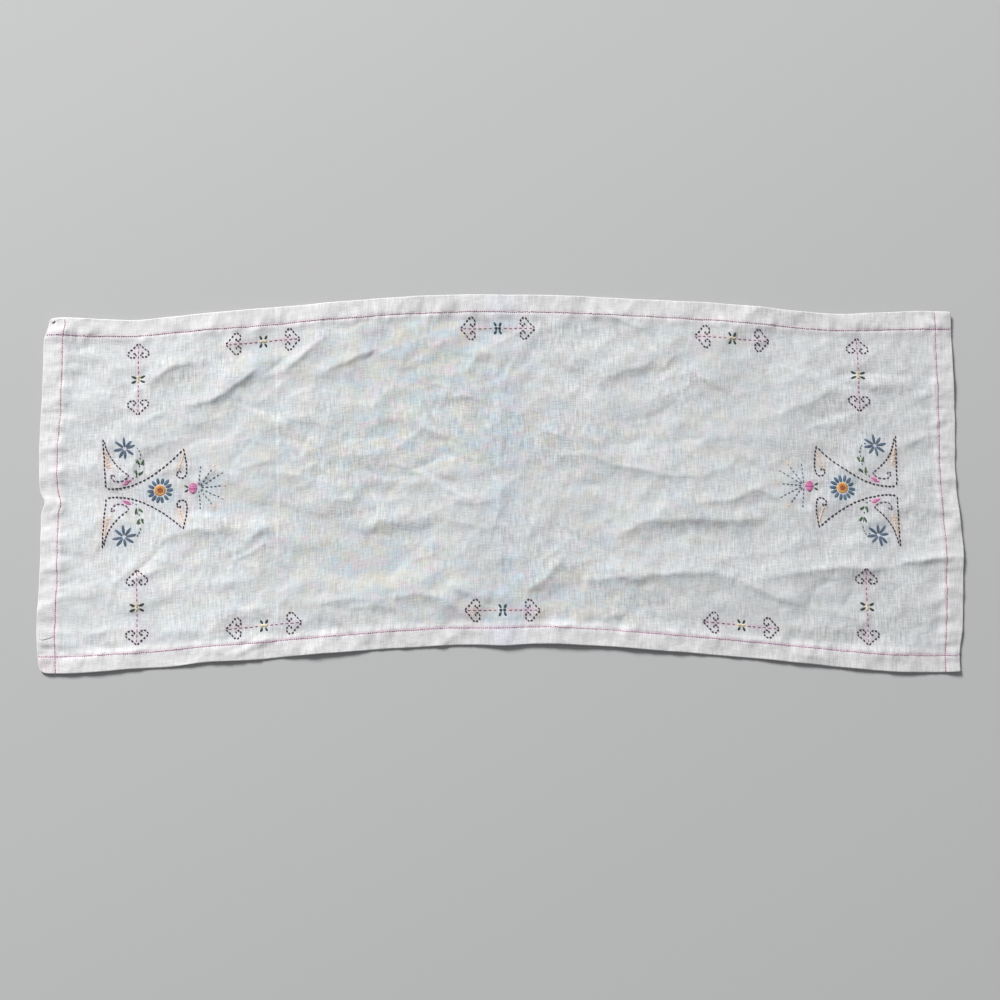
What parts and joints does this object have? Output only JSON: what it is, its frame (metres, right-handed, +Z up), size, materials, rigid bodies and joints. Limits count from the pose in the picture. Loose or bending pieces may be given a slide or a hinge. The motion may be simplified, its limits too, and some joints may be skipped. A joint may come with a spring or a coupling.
{
  "type": "table runner",
  "caption": "Hemmed linen table runner with hand-embroidered scroll borders and end flowers, lying flat; folds in half along its centre crease.",
  "frame": {"origin": "middle of the flat underside, under the centre of the bounding box", "axes": "+X along the length of the runner, +Y across it towards the far long edge, +Z up, out of the embroidered face"},
  "size_m": [1, 0.4152, 0.002],
  "materials": {
    "linen": "plain-weave linen, soft, matt and creased",
    "hem_linen": "plain-weave linen, three layers folded and stitched",
    "hem_thread": "mauve cotton hem stitches",
    "outline_thread": "charcoal stranded cotton running stitch",
    "stem_thread": "dusty rose stranded cotton running stitch",
    "cross_thread": "dark olive stranded cotton",
    "cross_centre_thread": "pale yellow stranded cotton",
    "filling_thread": "pale peach stranded cotton",
    "petal_thread": "steel blue stranded cotton, satin stitch with a soft sheen",
    "daisy_centre_thread": "orange stranded cotton, satin stitch with a soft sheen",
    "side_flower_thread": "slate blue stranded cotton, satin stitch",
    "flower_stem_thread": "grey-green stranded cotton running stitch",
    "leaf_thread": "dark green stranded cotton",
    "bud_thread": "pink stranded cotton, satin stitch with a soft sheen",
    "ray_thread": "grey-blue stranded cotton running stitch"
  },
  "bodies": {
    "left_half": {"linen_panel_left": "linen", "hem_far_left": "hem_linen", "hem_near_left": "hem_linen", "hem_left_end": "hem_linen", "hem_thread_far_left": "hem_thread", "hem_thread_near_left": "hem_thread", "hem_thread_left_end": "hem_thread", "scrolls_far_left": "outline_thread", "scroll_far_centre_left": "outline_thread", "scrolls_near_left": "outline_thread", "scroll_near_centre_left": "outline_thread", "scrolls_left_end_far": "outline_thread", "scrolls_left_end_near": "outline_thread", "stems_far_left": "stem_thread", "stem_far_centre_left": "stem_thread", "stems_near_left": "stem_thread", "stem_near_centre_left": "stem_thread", "stems_left_end_far": "stem_thread", "stems_left_end_near": "stem_thread", "crosses_left": "cross_thread", "cross_centres_left": "cross_centre_thread", "wing_outline_left": "outline_thread", "wing_filling_left": "filling_thread", "daisy_petals_left": "petal_thread", "daisy_centre_left": "daisy_centre_thread", "side_flowers_left": "side_flower_thread", "flower_stems_left": "flower_stem_thread", "leaves_left": "leaf_thread", "bud_left": "bud_thread", "bud_rays_left": "ray_thread"},
    "right_half": {"linen_panel_right": "linen", "hem_far_right": "hem_linen", "hem_near_right": "hem_linen", "hem_right_end": "hem_linen", "hem_thread_far_right": "hem_thread", "hem_thread_near_right": "hem_thread", "hem_thread_right_end": "hem_thread", "scroll_far_centre_right": "outline_thread", "scrolls_far_right": "outline_thread", "scroll_near_centre_right": "outline_thread", "scrolls_near_right": "outline_thread", "scrolls_right_end_far": "outline_thread", "scrolls_right_end_near": "outline_thread", "stem_far_centre_right": "stem_thread", "stems_far_right": "stem_thread", "stem_near_centre_right": "stem_thread", "stems_near_right": "stem_thread", "stems_right_end_far": "stem_thread", "stems_right_end_near": "stem_thread", "crosses_right": "cross_thread", "cross_centres_right": "cross_centre_thread", "wing_outline_right": "outline_thread", "wing_filling_right": "filling_thread", "daisy_petals_right": "petal_thread", "daisy_centre_right": "daisy_centre_thread", "side_flowers_right": "side_flower_thread", "flower_stems_right": "flower_stem_thread", "leaves_right": "leaf_thread", "bud_right": "bud_thread", "bud_rays_right": "ray_thread"}
  },
  "joints": [
    {"name": "centre_fold", "type": "hinge", "parent": "left_half", "child": "right_half", "pos_m": [0, 0, 0.0055], "axis": [0, -1, 0], "range_deg": [0, 179.8]}
  ]
}
